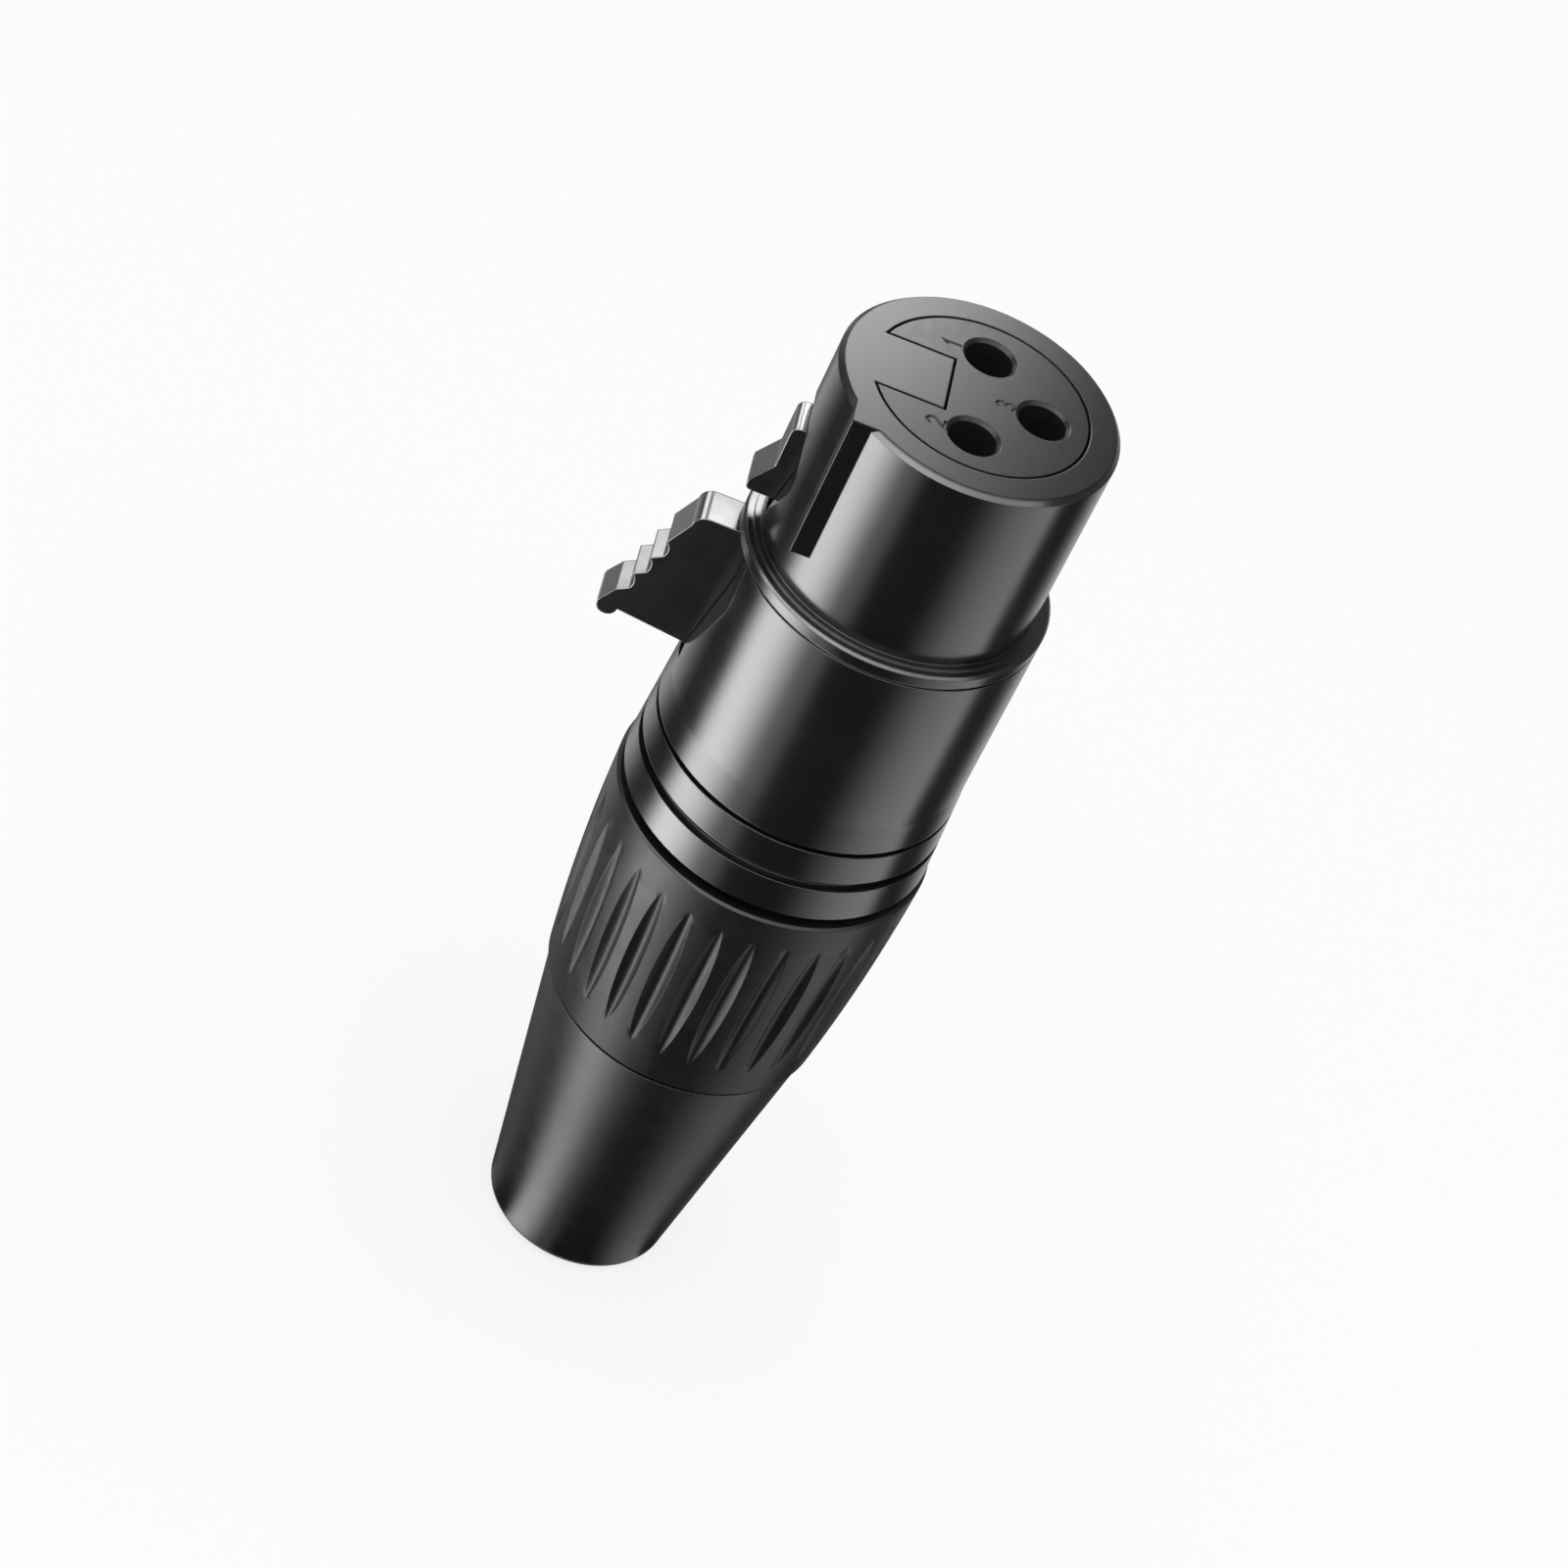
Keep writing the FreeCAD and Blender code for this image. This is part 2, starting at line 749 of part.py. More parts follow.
def main():
    """Write one STEP file for each piece."""
    os.makedirs("parts", exist_ok=True)
    pieces = {
        "shell": shell(),
        "coding_ring": coding_ring(),
        "contact_block": contact_block(),
        "contact_retainer": contact_retainer(),
        "ground_lug": ground_lug(),
        "latch_lever": latch_lever(),
        "latch_pin": latch_pin(),
        "latch_spring": latch_spring(),
        "chuck": chuck(),
        "gland_nut": gland_nut(),
        "boot_sleeve": boot_sleeve(),
    }
    for name, (x, y) in contact_places.items():
        pieces[name] = contact(x, y)
    for name, shape in pieces.items():
        shape.exportStep(os.path.join("parts", name + ".step"))
        print(name, shape.isValid(), len(shape.Solids), round(shape.Volume, 2))


main()
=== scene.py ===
"""Looks of the female cable connector: finishes, digits, fluted collar, threads, studio and camera."""
import math

import bmesh
import bpy
from mathutils import Matrix, Vector


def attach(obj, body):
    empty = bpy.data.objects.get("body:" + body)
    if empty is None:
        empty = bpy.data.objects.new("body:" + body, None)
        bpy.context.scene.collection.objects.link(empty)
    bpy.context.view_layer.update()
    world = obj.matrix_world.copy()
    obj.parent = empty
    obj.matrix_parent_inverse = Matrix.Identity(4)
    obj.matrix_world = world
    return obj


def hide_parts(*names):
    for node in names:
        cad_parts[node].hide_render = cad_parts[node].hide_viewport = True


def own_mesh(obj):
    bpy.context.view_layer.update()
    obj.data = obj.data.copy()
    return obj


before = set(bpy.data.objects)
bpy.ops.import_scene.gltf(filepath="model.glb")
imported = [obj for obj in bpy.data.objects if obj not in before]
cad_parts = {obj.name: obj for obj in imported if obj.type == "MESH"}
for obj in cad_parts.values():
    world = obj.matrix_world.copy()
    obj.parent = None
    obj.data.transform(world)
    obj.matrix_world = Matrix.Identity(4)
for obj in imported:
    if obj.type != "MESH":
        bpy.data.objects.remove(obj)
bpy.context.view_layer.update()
MM = 0.001

# Points closer than this, in metres, are one: within a mesh, and between copies laid round the axis
merge_distance = 1e-7
join_distance = 2e-7

# Stations along the axis and radii that the pieces here share with the solids, in millimetres
face_z = 67.5
collar_front_z = 35.5
collar_rear_z = 19.64
cone_z = 27.5
neck_end_z = 28.5
ring_rear_z = 36.2
neck_radius = 7.75
thread_bore = 7.83

# The collar's barrel, its bore and its flutes, in millimetres; the gap to the boot shows as a dark seam
collar_front_radius = 9.414
collar_rear_radius = 8.35
collar_fullness = 0.215
collar_edge = 0.15
rear_edge = 0.06
boot_gap = 0.32
spigot_radius = 6.2
spigot_end_z = 13.44
rear_bore_radius = 5.0
clamp_shoulder_z = 21.79
cone_small_radius = 5.55
cone_large_radius = 7.0
flute_count = 30
flute_width = 1.15
flute_depth = 0.38
flute_length = 11.4
flute_offset = 0.4
flute_least_width = 0.04

# Powers that shape a flute's narrowing ends and its floor; the mesh's share of a sector beyond its ends
flute_end_power = 0.6
flute_floor_power = 1.2
plain_land_share = 0.5

# Contact numbers sunk in the mating face, in millimetres: a groove that narrows towards its floor
contact_circle_radius = 3.5
digit_height = 1.0
digit_offset = 2.13
digit_depth = 0.09
digit_line_top = 0.19
digit_line_floor = 0.07
cutter_overshoot = 0.03

# Least cosine that widens the mitre of a stroke's corner, so that a sharp corner stays short
mitre_limit = 0.38

# The fine thread of neck and collar, and how far it stays from their ends, in millimetres
thread_pitch = 1.0
thread_half_width = 0.17
thread_rise = 0.065
thread_sink = 0.05
thread_margin = 0.6
thread_mouth_margin = 0.5

# Its steps, its size at the ends as a share, how fast that grows, and its section in shares of its size
thread_steps_a_turn = 72
thread_end_size = 0.05
thread_end_growth = 8
thread_section = ((-1.0, 0.0), (-0.45, 0.8), (0.0, 1.0), (0.45, 0.8), (1.0, 0.0))

# Between these values nearly all of a noise pattern lies
noise_low = 0.3
noise_high = 0.7

# Cosines of the turn at a rounded edge where its burnish starts and where it is full
burnish_start = 0.99
burnish_full = 0.93

# Depths under the mating face, in millimetres, where its satin starts and where it is full
satin_start = 0.12
satin_full = 0.04

# Camera of the photograph: place and sensor width in millimetres, right and up directions, azimuth in
# degrees, and the picture's side and the focal length in pixels
camera_place = Vector((36.110, 227.386, 235.520))
camera_right = Vector((-0.92729, -0.15160, 0.34226))
camera_up = Vector((0.35507, -0.64573, 0.67599))
camera_azimuth = 81.0
photo_side = 1600.0
photo_focal = 5499.0
sensor_width = 36.0

# Studio, in metres and degrees: the floor, the sky's radiance as light and as seen, and the dome's radius,
# lowest and highest edge, reach to each side of the camera, and half the breadth its radiance changes over
floor_radius = 3.0
sky_light = 0.4
sky_seen = 1.0
dome_radius = 0.5
dome_low = 22
dome_high = 64
dome_reach = 85
dome_rows = 8
dome_columns = 24
dome_half_breadth = 0.2

# Soft strip lights in a ring round the foot, by the azimuth in degrees of the walls that mirror them: where
# each starts, is full from and to, and ends, and its radiance. The ring repeats every 180 of these degrees,
# so the strip that crosses its seam is there twice. Elsewhere the ring is nearly dark.
foot_strips = {
    "side": (-1, 9, 14, 31, 1.0),
    "key": (38, 49, 52, 72, 15.0),
    "key_spill": (60, 66, 70, 78, 2.1),
    "fill": (95, 119, 129, 135, 2.4),
    "limb": (143, 160, 163, 189, 0.73),
    "limb_again": (-37, -20, -17, 9, 0.73),
}
dark_level = 0.04

# The ring itself, in metres, and the radius in millimetres of the walls that it is laid out for
strips_inner_radius = 0.0057
strips_outer_radius = 0.7
strips_height = 0.0003
strips_sides = 180
wall_radius = 8.5

# Near the foot, in metres, the strips are dimmer and turned in degrees, for the tapered collar and boot
near_start = 0.048
near_full = 0.016
near_level = 0.4
near_turn = 6.0


def linear(hex_colour):
    """sRGB hex colour as linear red, green, blue and alpha."""
    values = [int(hex_colour[i:i + 2], 16) / 255 for i in (1, 3, 5)]
    return [v / 12.92 if v <= 0.04045 else ((v + 0.055) / 1.055) ** 2.4 for v in values] + [1.0]


def add(tree, kind, settings=None, inputs=None):
    """One node: settings are its properties, inputs are values or other nodes' outputs for its sockets."""
    node = tree.nodes.new(kind)
    for name, value in (settings or {}).items():
        setattr(node, name, value)
    for socket, value in (inputs or {}).items():
        if isinstance(value, bpy.types.NodeSocket):
            tree.links.new(value, node.inputs[socket])
        else:
            node.inputs[socket].default_value = value
    return node


def maths(tree, operation, *values, clamp=False):
    """Output of one arithmetic node; the values may be other nodes' outputs."""
    settings = {"operation": operation, "use_clamp": clamp}
    return add(tree, "ShaderNodeMath", settings, dict(enumerate(values))).outputs[0]


def stretch(tree, value, low, high, to_low=0.0, to_high=1.0, soft=False):
    """Output that goes from one level to another as a value goes from low to high, and no further."""
    node = add(
        tree, "ShaderNodeMapRange", {"interpolation_type": "SMOOTHSTEP" if soft else "LINEAR"},
        {"Value": value, "From Min": low, "From Max": high, "To Min": to_low, "To Max": to_high},
    )
    return node.outputs["Result"]


def empty_material(name):
    """New material, and its node tree without nodes."""
    material = bpy.data.materials.new(name)
    material.use_nodes = True
    material.node_tree.nodes.clear()
    return material, material.node_tree


def per(size_mm):
    """Scale of a pattern whose features are this many millimetres apart."""
    return 1 / (size_mm * MM)


def surface(
    name, dark, light, mottle_mm, roughness, rough_spread, grain_mm, grain_height_mm, edge_mm, shader
):
    """Material with a mottled colour, a roughness that wanders, a fine grain and rounded edges.

    shader holds the values that are the same all over, by the names of the shader's sockets.
    """
    material, tree = empty_material(name)
    place = add(tree, "ShaderNodeTexCoord").outputs["Object"]
    mottle = add(tree, "ShaderNodeTexNoise", {}, {"Vector": place, "Scale": per(mottle_mm), "Detail": 3.0})
    colour = add(
        tree, "ShaderNodeMix", {"data_type": "RGBA"},
        {"Factor": mottle.outputs["Fac"], "A": linear(dark), "B": linear(light)},
    )
    rough = stretch(
        tree, mottle.outputs["Fac"], noise_low, noise_high,
        roughness - rough_spread, roughness + rough_spread,
    )
    grain = add(tree, "ShaderNodeTexNoise", {}, {"Vector": place, "Scale": per(grain_mm), "Detail": 2.0})
    edge = add(tree, "ShaderNodeBevel", {"samples": 6}, {"Radius": edge_mm * MM})
    bump = add(
        tree, "ShaderNodeBump", {},
        {"Height": grain.outputs["Fac"], "Distance": grain_height_mm * MM,
         "Normal": edge.outputs["Normal"]},
    )
    inputs = {
        "Base Color": colour.outputs["Result"],
        "Roughness": rough,
        "Normal": bump.outputs["Normal"],
    }
    inputs.update(shader)
    finish = add(tree, "ShaderNodeBsdfPrincipled", {"name": "finish"}, inputs)
    add(tree, "ShaderNodeOutputMaterial", {}, {"Surface": finish.outputs["BSDF"]})
    return material


def mix_in(tree, socket, share, value):
    """Blends a shader's present input towards a value, by a share."""
    present = socket.links[0].from_socket if socket.links else socket.default_value
    blend = add(tree, "ShaderNodeMix", {}, {"Factor": share, "A": present, "B": value})
    tree.links.new(blend.outputs["Result"], socket)


def burnish_edges(material, level):
    """Raises the reflection where the edges are rounded, as handling polishes them.

    The share grows from none to all where the rounding has turned the surface by 8 to 22 degrees.
    """
    tree = material.node_tree
    finish = tree.nodes["finish"]
    edge = next(node for node in tree.nodes if node.bl_idname == "ShaderNodeBevel")
    plain = add(tree, "ShaderNodeNewGeometry").outputs["Normal"]
    turned = add(
        tree, "ShaderNodeVectorMath", {"operation": "DOT_PRODUCT"}, {0: edge.outputs["Normal"], 1: plain}
    )
    rounded = stretch(tree, turned.outputs["Value"], burnish_start, burnish_full)
    mix_in(tree, finish.inputs["Specular IOR Level"], rounded, level)


def face_off(material, roughness, level):
    """Makes the mating face of a glossy material satin, as a cutter leaves it before plating."""
    tree = material.node_tree
    finish = tree.nodes["finish"]
    place = add(tree, "ShaderNodeTexCoord").outputs["Object"]
    height = add(tree, "ShaderNodeSeparateXYZ", {}, {0: place}).outputs["Z"]
    faced = stretch(tree, height, (face_z - satin_start) * MM, (face_z - satin_full) * MM)
    mix_in(tree, finish.inputs["Roughness"], faced, roughness)
    mix_in(tree, finish.inputs["Specular IOR Level"], faced, level)


def black_plated_zinc():
    """Zinc casting, polished and black plated: deep black, glossy, with the casting's faint waviness."""
    material = surface(
        "black_plated_zinc", "#151215", "#1b181b", mottle_mm=2.5, roughness=0.2, rough_spread=0.015,
        grain_mm=1.6, grain_height_mm=0.0012, edge_mm=0.1,
        shader={"IOR": 1.5, "Specular IOR Level": 0.35},
    )
    face_off(material, roughness=0.32, level=0.12)
    return material


def black_plated_latch():
    """The same plating on the smaller latch casting, with crisper edges that catch the light."""
    material = surface(
        "black_plated_latch", "#201d20", "#282528", mottle_mm=1.5, roughness=0.22, rough_spread=0.03,
        grain_mm=0.9, grain_height_mm=0.0015, edge_mm=0.12,
        shader={"IOR": 1.5, "Specular IOR Level": 0.38},
    )
    burnish_edges(material, level=1.0)
    return material


def gloss_ring_plastic():
    """Moulded ABS ring: gloss black, a little warmer and softer than the plating."""
    return surface(
        "gloss_ring_plastic", "#141214", "#1b181b", mottle_mm=2.0, roughness=0.22, rough_spread=0.03,
        grain_mm=0.8, grain_height_mm=0.001, edge_mm=0.08,
        shader={"IOR": 1.53, "Specular IOR Level": 0.35},
    )


def satin_insert_plastic():
    """Glass-filled polyamide insert: dark grey satin with the fine speckle of a spark-eroded mould."""
    return surface(
        "satin_insert_plastic", "#1d1a1e", "#252226", mottle_mm=0.5, roughness=0.32, rough_spread=0.04,
        grain_mm=0.09, grain_height_mm=0.003, edge_mm=0.06,
        shader={"IOR": 1.53, "Specular IOR Level": 0.09},
    )


def matte_collar_plastic():
    """Moulded polyamide collar: dull black with a fine eroded grain that spreads the light."""
    return surface(
        "matte_collar_plastic", "#121013", "#191619", mottle_mm=1.2, roughness=0.38, rough_spread=0.04,
        grain_mm=0.1, grain_height_mm=0.004, edge_mm=0.07,
        shader={"IOR": 1.53, "Specular IOR Level": 0.13},
    )


def soft_boot_rubber():
    """Thermoplastic rubber boot: soft satin black with a slightly coarser, rounder grain."""
    return surface(
        "soft_boot_rubber", "#121013", "#191619", mottle_mm=1.5, roughness=0.37, rough_spread=0.03,
        grain_mm=0.16, grain_height_mm=0.004, edge_mm=0.1,
        shader={"IOR": 1.51, "Specular IOR Level": 0.24},
    )


def gold_plated_contact():
    """Turned brass under flash gold: warm metal with fine turning lines."""
    return surface(
        "gold_plated_contact", "#c9a24a", "#dcb65e", mottle_mm=0.6, roughness=0.25, rough_spread=0.05,
        grain_mm=0.12, grain_height_mm=0.001, edge_mm=0.05, shader={"Metallic": 1.0},
    )


def tinned_lug_strip():
    """Stamped brass strip, hot tinned: pale grey metal, softly uneven."""
    return surface(
        "tinned_lug_strip", "#b7b5b0", "#cbc9c4", mottle_mm=0.8, roughness=0.32, rough_spread=0.06,
        grain_mm=0.25, grain_height_mm=0.002, edge_mm=0.04, shader={"Metallic": 1.0},
    )


def spring_steel():
    """Cold rolled spring strip and ground pin: mid grey metal with a fine sheen."""
    return surface(
        "spring_steel", "#8f8f92", "#a6a6a9", mottle_mm=0.7, roughness=0.28, rough_spread=0.05,
        grain_mm=0.15, grain_height_mm=0.001, edge_mm=0.04, shader={"Metallic": 1.0},
    )


def natural_chuck_plastic():
    """Unpigmented acetal chuck: milky off-white, slightly waxy."""
    return surface(
        "natural_chuck_plastic", "#dcd9d0", "#e8e5dc", mottle_mm=1.0, roughness=0.42, rough_spread=0.04,
        grain_mm=0.2, grain_height_mm=0.002, edge_mm=0.08, shader={"IOR": 1.48},
    )


def barrel_radius(z):
    """Radius of the collar's barrel at a height, fuller than the straight line between its ends."""
    share = (collar_front_z - z) / (collar_front_z - collar_rear_z)
    line = collar_front_radius + (collar_rear_radius - collar_front_radius) * share
    return line + 4 * collar_fullness * share * (1 - share)


def as_mesh(form, name):
    """Mesh of a finished form, which is let go."""
    mesh = bpy.data.meshes.new(name)
    form.to_mesh(mesh)
    form.free()
    return mesh


def tidy_mesh(mesh, sharp_degrees):
    """Faces outwards, smooth shading, and sharp edges where faces meet at more than this angle."""
    if "custom_normal" in mesh.attributes:
        mesh.attributes.remove(mesh.attributes["custom_normal"])
    form = bmesh.new()
    form.from_mesh(mesh)
    bmesh.ops.remove_doubles(form, verts=form.verts, dist=merge_distance)
    bmesh.ops.recalc_face_normals(form, faces=form.faces)
    form.to_mesh(mesh)
    form.free()
    mesh.polygons.foreach_set("use_smooth", [True] * len(mesh.polygons))
    mesh.set_sharp_from_angle(angle=math.radians(sharp_degrees))


def new_object(name, mesh, material):
    """Object at the origin, with its material."""
    piece = bpy.data.objects.new(name, mesh)
    bpy.context.scene.collection.objects.link(piece)
    mesh.materials.clear()
    mesh.materials.append(material)
    return piece


def collar_sector():
    """One flute's share of the collar: barrel with half a land each side, ends, bore, cone and spigot."""
    half_pitch = math.pi / flute_count
    # Steps across the flute, across half a land, along the flute, and from the flute to each end
    inside = 14
    land = 3
    rows = 56
    plain_rows = 4
    middle_z = (collar_front_z + collar_rear_z) / 2 + flute_offset
    reach = flute_length / 2
    front_z = collar_front_z - collar_edge
    end_z = collar_rear_z + boot_gap
    rear_z = end_z + rear_edge
    shares = [k / plain_rows for k in range(plain_rows + 1)]
    stations = [front_z * (1 - share) + (middle_z + reach) * share for share in shares[:-1]]
    stations += [middle_z + reach * math.cos(math.pi * k / rows) for k in range(rows + 1)]
    stations += [(middle_z - reach) * (1 - share) + rear_z * share for share in shares[1:]]
    profile = [("flute", barrel_radius(z), z) for z in stations]
    profile = [("plain", barrel_radius(collar_front_z) - collar_edge, collar_front_z)] + profile
    profile += [("plain", r, z) for r, z in (
        (barrel_radius(end_z) - rear_edge, end_z),
        (spigot_radius, end_z),
        (spigot_radius, spigot_end_z),
        (rear_bore_radius, spigot_end_z),
        (rear_bore_radius, clamp_shoulder_z),
        (cone_small_radius, clamp_shoulder_z),
        (cone_large_radius, cone_z),
        (thread_bore, cone_z),
        (thread_bore, collar_front_z),
    )]
    form = bmesh.new()
    grid = []
    for kind, radius, z in profile:
        along = (z - middle_z) / reach
        swell = max(0.0, 1 - along * along) if kind == "flute" else 0.0
        rim = half_pitch * plain_land_share
        if kind == "flute":
            rim = max(flute_least_width, flute_width * swell ** flute_end_power) / 2 / radius
        line = []
        for step in range(-inside // 2 - land, inside // 2 + land + 1):
            size = abs(step)
            if size <= inside // 2:
                across = size / (inside // 2)
                angle = rim * across
                drop = flute_depth * swell * (1 - across * across) ** flute_floor_power
            else:
                angle = rim + (half_pitch - rim) * (size - inside // 2) / land
                drop = 0.0
            angle = math.copysign(angle, step)
            r = (radius - drop) * MM
            line.append(form.verts.new((r * math.cos(angle), r * math.sin(angle), z * MM)))
        grid.append(line)
    for row in range(len(grid)):
        near, far = grid[row], grid[(row + 1) % len(grid)]
        for k in range(len(near) - 1):
            form.faces.new((near[k], near[k + 1], far[k + 1], far[k]))
    return as_mesh(form, "collar_sector")


def ring_of_copies():
    """Geometry tree: copies of the incoming mesh evenly round the axis, joined into one closed mesh."""
    tree = bpy.data.node_groups.new("ring_of_copies", "GeometryNodeTree")
    shape = tree.interface
    shape.new_socket("Geometry", in_out="INPUT", socket_type="NodeSocketGeometry")
    shape.new_socket("Copies", in_out="INPUT", socket_type="NodeSocketInt")
    shape.new_socket("Join distance", in_out="INPUT", socket_type="NodeSocketFloat")
    shape.new_socket("Material", in_out="INPUT", socket_type="NodeSocketMaterial")
    shape.new_socket("Geometry", in_out="OUTPUT", socket_type="NodeSocketGeometry")
    given = add(tree, "NodeGroupInput").outputs
    points = add(tree, "GeometryNodePoints", {}, {"Count": given["Copies"]})
    place = add(tree, "GeometryNodeInputIndex").outputs["Index"]
    angle = maths(tree, "MULTIPLY", place, maths(tree, "DIVIDE", 2 * math.pi, given["Copies"]))
    turned = add(tree, "ShaderNodeCombineXYZ", {}, {"Z": angle})
    copies = add(
        tree, "GeometryNodeInstanceOnPoints", {},
        {"Points": points.outputs[0], "Instance": given["Geometry"], "Rotation": turned.outputs[0]},
    )
    real = add(tree, "GeometryNodeRealizeInstances", {}, {"Geometry": copies.outputs[0]})
    joined = add(
        tree, "GeometryNodeMergeByDistance", {},
        {"Geometry": real.outputs[0], "Distance": given["Join distance"]},
    )
    painted = add(
        tree, "GeometryNodeSetMaterial", {}, {"Geometry": joined.outputs[0], "Material": given["Material"]}
    )
    add(tree, "NodeGroupOutput", {}, {0: painted.outputs[0]})
    return tree


def repeated_round(name, mesh, copies, material):
    """Plain mesh object made of copies of a mesh round the axis."""
    seed = new_object("seed", mesh, material)
    modifier = seed.modifiers.new("copies", "NODES")
    modifier.node_group = ring_of_copies()
    items = modifier.node_group.interface.items_tree
    sockets = {item.name: item.identifier for item in items if item.in_out == "INPUT"}
    modifier[sockets["Copies"]] = copies
    modifier[sockets["Join distance"]] = join_distance
    modifier[sockets["Material"]] = material
    seen = seed.evaluated_get(bpy.context.evaluated_depsgraph_get())
    result = bpy.data.meshes.new_from_object(seen)
    bpy.data.objects.remove(seed)
    return new_object(name, result, material)


def thread_ridge(name, root, crest, first_z, last_z, phase, material):
    """Helical ridge with a rounded crest, tapering to nothing at both ends."""
    turns = (last_z - first_z) / thread_pitch
    steps = int(turns * thread_steps_a_turn)
    corners = len(thread_section)
    form = bmesh.new()
    rings = []
    for step in range(steps + 1):
        share = step / steps
        angle = 2 * math.pi * turns * share + phase
        fade = min(1.0, thread_end_size + thread_end_growth * min(share, 1 - share))
        z = first_z + (last_z - first_z) * share
        ring = []
        for along, rise in thread_section:
            r = root + (crest - root) * rise * fade
            height = z + along * thread_half_width * fade
            corner = Vector((r * math.cos(angle), r * math.sin(angle), height))
            ring.append(form.verts.new(corner * MM))
        rings.append(ring)
    for near, far in zip(rings, rings[1:]):
        for k in range(corners):
            after = (k + 1) % corners
            form.faces.new((near[k], near[after], far[after], far[k]))
    form.faces.new(rings[0])
    form.faces.new(reversed(rings[-1]))
    mesh = as_mesh(form, name)
    tidy_mesh(mesh, sharp_degrees=50)
    return new_object(name, mesh, material)


def merged_copy(node, name, material):
    """Own mesh with a node's form, its loose triangles joined."""
    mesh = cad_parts[node].data.copy()
    mesh.name = name
    piece = new_object(name, mesh, material)
    tidy_mesh(mesh, sharp_degrees=25)
    return piece


def cut_away(piece, cutter):
    """Cuts a closed mesh out of a piece and keeps the plain result."""
    modifier = piece.modifiers.new("cut", "BOOLEAN")
    modifier.operation = "DIFFERENCE"
    modifier.solver = "EXACT"
    modifier.object = cutter
    seen = piece.evaluated_get(bpy.context.evaluated_depsgraph_get())
    mesh = bpy.data.meshes.new_from_object(seen)
    piece.modifiers.clear()
    piece.data = mesh
    bpy.data.objects.remove(cutter)


def arc(x, y, radius, start, end, steps=12):
    """Points along an arc, from one angle to another in degrees."""
    angles = [math.radians(start + (end - start) * k / steps) for k in range(steps + 1)]
    return [(x + radius * math.cos(a), y + radius * math.sin(a)) for a in angles]


# Middle lines of the digits in a unit square, each one a list of strokes
digit_lines = {
    "1": [[(-0.24, 0.76), (0.0, 1.0), (0.0, 0.0)]],
    "2": [arc(0.0, 0.7, 0.3, 165, -35) + [(-0.32, 0.0), (0.34, 0.0)]],
    "3": [arc(0.0, 0.76, 0.24, 150, -90), arc(0.0, 0.27, 0.27, 90, -150)],
}


def stroke_sides(points, half):
    """Points on both sides of a middle line, mitred at its corners."""
    left, right = [], []
    for k, here in enumerate(points):
        before = points[max(k - 1, 0)]
        after = points[min(k + 1, len(points) - 1)]
        along_in = Vector(here) - Vector(before)
        along_out = Vector(after) - Vector(here)
        if k == 0:
            along_in = along_out
        if k == len(points) - 1:
            along_out = along_in
        side_in = Vector((-along_in.y, along_in.x)).normalized()
        side_out = Vector((-along_out.y, along_out.x)).normalized()
        side = (side_in + side_out).normalized()
        reach = half / max(side.dot(side_in), mitre_limit)
        left.append(Vector(here) + side * reach)
        right.append(Vector(here) - side * reach)
    return left + right[::-1]


def stroke_cutter(points, x, y):
    """Closed tapered groove along one stroke of a digit, upright towards the latch."""
    slope = (digit_line_top - digit_line_floor) / digit_depth
    middle_line = [(right * digit_height, up * digit_height) for right, up in points]
    form = bmesh.new()
    levels = []
    for depth in (digit_depth, -cutter_overshoot):
        half = (digit_line_top - slope * depth) / 2
        level = []
        for across, up in stroke_sides(middle_line, half):
            place = Vector((x + up - digit_height / 2, y - across, face_z - depth))
            level.append(form.verts.new(place * MM))
        levels.append(level)
    low, high = levels
    count = len(low)
    for k in range(count):
        form.faces.new((low[k], low[(k + 1) % count], high[(k + 1) % count], high[k]))
    half_count = count // 2
    for level in levels:
        for k in range(half_count - 1):
            form.faces.new((level[k], level[k + 1], level[count - 2 - k], level[count - 1 - k]))
    return as_mesh(form, "stroke")


def engraved_insert(material):
    """The front insert with the digits 1, 2 and 3 sunk in its face beside their sockets."""
    piece = merged_copy("contact_block", "insert_face", material)
    places = {
        "1": (0.0, -contact_circle_radius),
        "2": (0.0, contact_circle_radius),
        "3": (-contact_circle_radius, 0.0),
    }
    for digit, (x, y) in places.items():
        for points in digit_lines[digit]:
            mesh = stroke_cutter(points, x + digit_offset, y)
            tidy_mesh(mesh, sharp_degrees=30)
            cut_away(piece, new_object("cutter", mesh, material))
    tidy_mesh(piece.data, sharp_degrees=25)
    return piece


def studio_surface(name, hex_colour, own_light):
    """Pale matt paper, lit by the lamps; seen straight or mirrored, a share of it is its own light."""
    material, tree = empty_material(name)
    path = add(tree, "ShaderNodeLightPath").outputs
    seen = maths(tree, "ADD", path["Is Camera Ray"], path["Is Glossy Ray"], clamp=True)
    seen = maths(tree, "ADD", seen, path["Is Transmission Ray"], clamp=True)
    share = maths(tree, "MULTIPLY", seen, own_light)
    paper = add(tree, "ShaderNodeBsdfDiffuse", {}, {"Color": linear(hex_colour)})
    glow = add(tree, "ShaderNodeEmission", {}, {"Strength": 1.0})
    both = add(tree, "ShaderNodeMixShader", {}, {0: share, 1: paper.outputs[0], 2: glow.outputs[0]})
    add(tree, "ShaderNodeOutputMaterial", {}, {"Surface": both.outputs[0]})
    return material


def floor_sheet():
    """Round sheet of pale paper that the connector stands on."""
    form = bmesh.new()
    bmesh.ops.create_circle(form, cap_ends=True, segments=64, radius=floor_radius)
    paper = studio_surface("pale_paper", "#f4f4f4", own_light=0.8)
    floor = new_object("floor", as_mesh(form, "floor"), paper)


